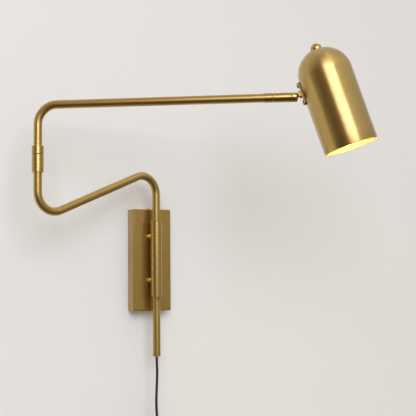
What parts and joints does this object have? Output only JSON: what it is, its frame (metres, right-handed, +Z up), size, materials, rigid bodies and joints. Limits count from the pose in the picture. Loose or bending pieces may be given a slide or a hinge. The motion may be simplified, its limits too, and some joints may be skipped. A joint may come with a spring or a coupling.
{
  "type": "swing arm wall sconce",
  "caption": "Plug-in wall lamp: flat wall plate, two bent tube arms that swing at shoulder and elbow, and a domed cylindrical shade on a roll-and-tilt knuckle.",
  "frame": {"origin": "centre of the wall plate's back face, in the plane of the wall", "axes": "+Y into the wall, +Z up, +X along the wall to the right for someone facing it"},
  "size_m": [0.4096, 0.3878, 0.7469],
  "materials": {
    "satin_brass": "fine brushed satin, lightly lacquered",
    "polished_brass": "polished",
    "plated_steel": "zinc plated",
    "nylon": "moulded",
    "cord_black": "smooth sheath",
    "black_plastic": "moulded, fine texture",
    "contact_metal": "nickel plated",
    "holder_plastic": "moulded phenolic",
    "bulb_glass": "frosted, warm white"
  },
  "bodies": {
    "wall_mount": {"wall_plate": "satin_brass", "wall_bracket": "plated_steel", "plate_screws": "polished_brass", "standoff_posts": "satin_brass", "post_screws": "plated_steel", "pivot_barrel": "satin_brass", "barrel_bush_bottom": "nylon", "barrel_bush_top": "nylon"},
    "lower_arm": {"lower_arm_tube": "satin_brass", "thrust_collar": "plated_steel", "retaining_collar": "satin_brass", "collar_grub_screws": "plated_steel", "elbow_sleeve": "satin_brass", "elbow_bush": "nylon", "cord_grip": "nylon", "lower_arm_lead": "cord_black", "cord_hanging": "cord_black", "cord_feed": "cord_black", "cord_coil": "cord_black", "cord_tie": "black_plastic", "cord_tail": "cord_black", "switch_case_front": "black_plastic", "switch_case_back": "black_plastic", "switch_screws": "plated_steel", "switch_terminals": "contact_metal", "plug_body": "black_plastic", "plug_pins": "contact_metal"},
    "rocker": {"switch_rocker": "black_plastic"},
    "upper_arm": {"upper_arm_tube": "satin_brass", "elbow_clip": "plated_steel", "elbow_ring": "satin_brass", "arm_end_ring": "satin_brass", "swivel_stud": "satin_brass", "upper_arm_lead": "cord_black"},
    "swivel": {"swivel_housing": "satin_brass", "swivel_bushing": "satin_brass", "friction_washer": "nylon", "pivot_screws": "polished_brass", "swivel_lead": "cord_black"},
    "head": {"knuckle": "satin_brass", "neck_lock_nut": "satin_brass", "neck_inner_nut": "plated_steel", "shade_bracket": "satin_brass", "bracket_screws": "polished_brass", "bracket_nuts": "plated_steel", "shade": "satin_brass", "holder_stem": "plated_steel", "stem_nut": "plated_steel", "shade_cap_nut": "polished_brass", "lampholder": "holder_plastic", "holder_core": "holder_plastic", "screw_shell": "contact_metal", "centre_contact": "contact_metal", "bulb_base": "contact_metal", "bulb_glass": "bulb_glass", "head_lead": "cord_black"}
  },
  "joints": [
    {"name": "lower_arm_swing", "type": "hinge", "parent": "wall_mount", "child": "lower_arm", "pos_m": [0, -0.0394, 0], "axis": [0, 0, 1], "range_deg": [-17, 163]},
    {"name": "elbow_swing", "type": "hinge", "parent": "lower_arm", "child": "upper_arm", "pos_m": [-0.20961, -0.10388, 0.145], "axis": [0, 0, 1], "range_deg": [-301, 44]},
    {"name": "head_roll", "type": "hinge", "parent": "upper_arm", "child": "swivel", "pos_m": [0.09057, -0.30712, 0.2225], "axis": [0.8281, -0.5606, 0], "range_deg": [-170, 170]},
    {"name": "head_tilt", "type": "hinge", "parent": "swivel", "child": "head", "pos_m": [0.09057, -0.30712, 0.2225], "axis": [-0.5606, -0.8281, 0], "range_deg": [-103, 66]},
    {"name": "switch_rock", "type": "hinge", "parent": "lower_arm", "child": "rocker", "pos_m": [0, -0.0439, -0.288], "axis": [1, 0, 0], "range_deg": [-16, 0]}
  ]
}
